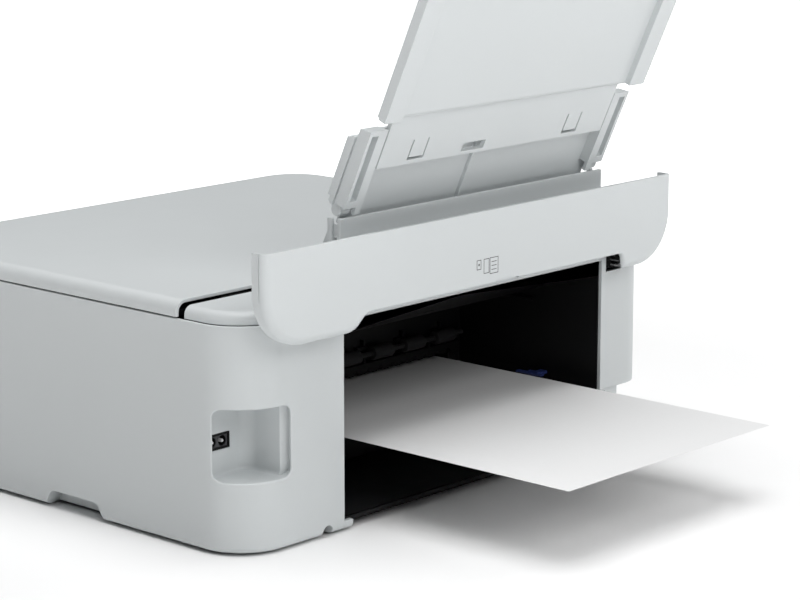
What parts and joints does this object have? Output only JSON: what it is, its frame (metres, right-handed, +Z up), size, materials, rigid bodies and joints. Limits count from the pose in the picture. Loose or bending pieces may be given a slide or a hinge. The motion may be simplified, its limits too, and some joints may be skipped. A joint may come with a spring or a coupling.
{
  "type": "inkjet printer",
  "caption": "Compact light grey inkjet printer with flatbed scanner: rounded case, open rear bay with a sheet, upright rear cover and telescopic paper support.",
  "frame": {"origin": "under the middle of the whole object's box, on the surface where the feet stand", "axes": "+X to the right seen from the front, +Y to the rear, where the sheet sticks out, +Z up"},
  "size_m": [0.403, 0.5078, 0.3703],
  "materials": {
    "light_plastic": "fine satin grain",
    "dark_plastic": "matt black moulding",
    "blue_plastic": "satin blue moulding",
    "screen_plastic": "gloss black",
    "rubber": "matt grey-black",
    "steel": "zinc-coated pressed steel and ground rods",
    "socket_metal": "nickel plate",
    "glass": "clear polished",
    "board": "green solder mask",
    "supply_case": "matt dark grey",
    "sheet_paper": "uncoated white office paper",
    "white_foam": "white foam-backed film"
  },
  "bodies": {
    "printer_base": {"main_case": "light_plastic", "base_pan": "dark_plastic", "foot_rear_right": "rubber", "foot_rear_left": "rubber", "foot_front_right": "rubber", "foot_front_left": "rubber", "bay_liner": "dark_plastic", "exit_comb": "dark_plastic", "deck_cover": "light_plastic", "feeder_shield": "light_plastic", "feeder_hopper": "dark_plastic", "power_inlet": "dark_plastic", "power_supply": "supply_case", "main_board": "board", "usb_port": "socket_metal", "engine_frame": "steel", "carriage_rail": "steel", "platen": "dark_plastic", "maintenance_station": "dark_plastic", "feed_motor": "steel", "carriage_motor": "steel", "carriage_belt": "rubber"},
    "scanner_unit": {"scanner_tray": "dark_plastic", "scanner_frame": "dark_plastic", "scanner_glass": "glass", "scan_rail": "steel", "lid_hinge_left": "dark_plastic", "lid_hinge_right": "dark_plastic"},
    "scan_carriage": {"scan_carriage": "dark_plastic"},
    "lid": {"scanner_lid": "light_plastic", "lid_mat": "white_foam"},
    "rear_cover": {"rear_cover": "light_plastic", "cover_hinge_left": "dark_plastic", "cover_hinge_right": "dark_plastic"},
    "support_base": {"support_frame": "light_plastic"},
    "support_middle": {"support_mid": "light_plastic"},
    "support_upper": {"support_top": "light_plastic"},
    "guide_right": {"guide_right": "light_plastic"},
    "guide_left": {"guide_left": "light_plastic"},
    "guide_pinion": {"guide_pinion": "dark_plastic"},
    "print_carriage": {"print_carriage": "dark_plastic", "print_head": "steel", "ink_black": "dark_plastic", "ink_colour": "dark_plastic"},
    "feed_roller": {"feed_roller": "rubber", "feed_gear": "dark_plastic"},
    "motor_pinion": {"motor_pinion": "dark_plastic"},
    "exit_roller": {"exit_roller": "rubber"},
    "transport_rollers": {"transport_rollers": "rubber"},
    "pickup_roller": {"pickup_roller": "rubber"},
    "control_panel": {"control_panel": "light_plastic", "touch_screen": "screen_plastic"},
    "power_button": {"power_button": "light_plastic"},
    "front_door": {"front_door": "light_plastic"},
    "output_tray": {"output_tray": "light_plastic"},
    "paper_cassette": {"paper_cassette": "dark_plastic"},
    "paper_sheet": {"paper_sheet": "sheet_paper"},
    "release_lever": {"release_lever": "blue_plastic"}
  },
  "joints": [
    {"name": "scanner_lift", "type": "hinge", "parent": "printer_base", "child": "scanner_unit", "pos_m": [0, 0.04015, 0.151], "axis": [-1, 0, 0], "range_deg": [0, 18]},
    {"name": "lid_hinge", "type": "hinge", "parent": "scanner_unit", "child": "lid", "pos_m": [0, 0.04015, 0.151], "axis": [-1, 0, 0], "range_deg": [0, 70]},
    {"name": "scan_carriage_slide", "type": "slide", "parent": "scanner_unit", "child": "scan_carriage", "axis": [1, 0, 0], "range_m": [0, 0.295]},
    {"name": "rear_cover_hinge", "type": "hinge", "parent": "printer_base", "child": "rear_cover", "pos_m": [0, 0.09715, 0.14], "axis": [1, 0, 0], "range_deg": [0, 18]},
    {"name": "support_tilt", "type": "hinge", "parent": "printer_base", "child": "support_base", "pos_m": [0, 0.08415, 0.205], "axis": [1, 0, 0], "range_deg": [0, 24.5]},
    {"name": "support_middle_slide", "type": "slide", "parent": "support_base", "child": "support_middle", "axis": [0, 0.4147, 0.91], "range_m": [-0.022, 0]},
    {"name": "support_upper_slide", "type": "slide", "parent": "support_middle", "child": "support_upper", "axis": [0, 0.4147, 0.91], "range_m": [-0.044, 0]},
    {"name": "guide_right_slide", "type": "slide", "parent": "printer_base", "child": "guide_right", "axis": [-1, 0, 0], "range_m": [0, 0.055]},
    {"name": "guide_left_slide", "type": "slide", "parent": "printer_base", "child": "guide_left", "axis": [1, 0, 0], "range_m": [0, 0.055]},
    {"name": "guide_pinion_spin", "type": "hinge", "parent": "printer_base", "child": "guide_pinion", "pos_m": [-0.0245, 0.05015, 0.136], "axis": [0, 1, 0], "range_deg": [-480, 480]},
    {"name": "print_carriage_slide", "type": "slide", "parent": "printer_base", "child": "print_carriage", "axis": [-1, 0, 0], "range_m": [0, 0.235]},
    {"name": "feed_roller_spin", "type": "hinge", "parent": "printer_base", "child": "feed_roller", "pos_m": [0, -0.04385, 0.044], "axis": [1, 0, 0], "continuous": true},
    {"name": "motor_pinion_spin", "type": "hinge", "parent": "printer_base", "child": "motor_pinion", "pos_m": [-0.19, -0.06675, 0.044], "axis": [1, 0, 0], "continuous": true},
    {"name": "exit_roller_spin", "type": "hinge", "parent": "printer_base", "child": "exit_roller", "pos_m": [0, -0.12385, 0.0445], "axis": [1, 0, 0], "continuous": true},
    {"name": "transport_roller_spin", "type": "hinge", "parent": "printer_base", "child": "transport_rollers", "pos_m": [0, -0.02535, 0.0695], "axis": [1, 0, 0], "continuous": true},
    {"name": "pickup_roller_spin", "type": "hinge", "parent": "printer_base", "child": "pickup_roller", "pos_m": [0, -0.00985, 0.1135], "axis": [1, 0, 0], "continuous": true},
    {"name": "control_panel_tilt", "type": "hinge", "parent": "printer_base", "child": "control_panel", "pos_m": [0, -0.25095, 0.139], "axis": [-1, 0, 0], "range_deg": [0, 45]},
    {"name": "power_button_press", "type": "slide", "parent": "control_panel", "child": "power_button", "axis": [0, 1, 0], "range_m": [0, 0.0012], "stiffness_N_per_m": 300, "springref_m": -0.001},
    {"name": "front_door_hinge", "type": "hinge", "parent": "printer_base", "child": "front_door", "pos_m": [0, -0.25235, 0.0525], "axis": [1, 0, 0], "range_deg": [0, 88]},
    {"name": "output_tray_slide", "type": "slide", "parent": "printer_base", "child": "output_tray", "axis": [0, -1, 0], "range_m": [0, 0.105]},
    {"name": "cassette_slide", "type": "slide", "parent": "printer_base", "child": "paper_cassette", "axis": [0, -1, 0], "range_m": [0, 0.18]},
    {"name": "sheet_slide", "type": "slide", "parent": "printer_base", "child": "paper_sheet", "axis": [0, 1, 0], "range_m": [0, 0.145]},
    {"name": "release_lever_hinge", "type": "hinge", "parent": "printer_base", "child": "release_lever", "pos_m": [-0.1462, 0.04815, 0.0506], "axis": [0, -1, 0], "range_deg": [0, 60]}
  ],
  "couplings": [
    {"joint": "guide_left_slide", "follows": "guide_right_slide", "ratio": 1},
    {"joint": "guide_pinion_spin", "follows": "guide_right_slide", "rad_per_m": -147.06},
    {"joint": "motor_pinion_spin", "follows": "feed_roller_spin", "ratio": -4},
    {"joint": "exit_roller_spin", "follows": "feed_roller_spin", "ratio": 1.25},
    {"joint": "transport_roller_spin", "follows": "feed_roller_spin", "ratio": -1.2},
    {"joint": "pickup_roller_spin", "follows": "feed_roller_spin", "ratio": 0.6316}
  ]
}
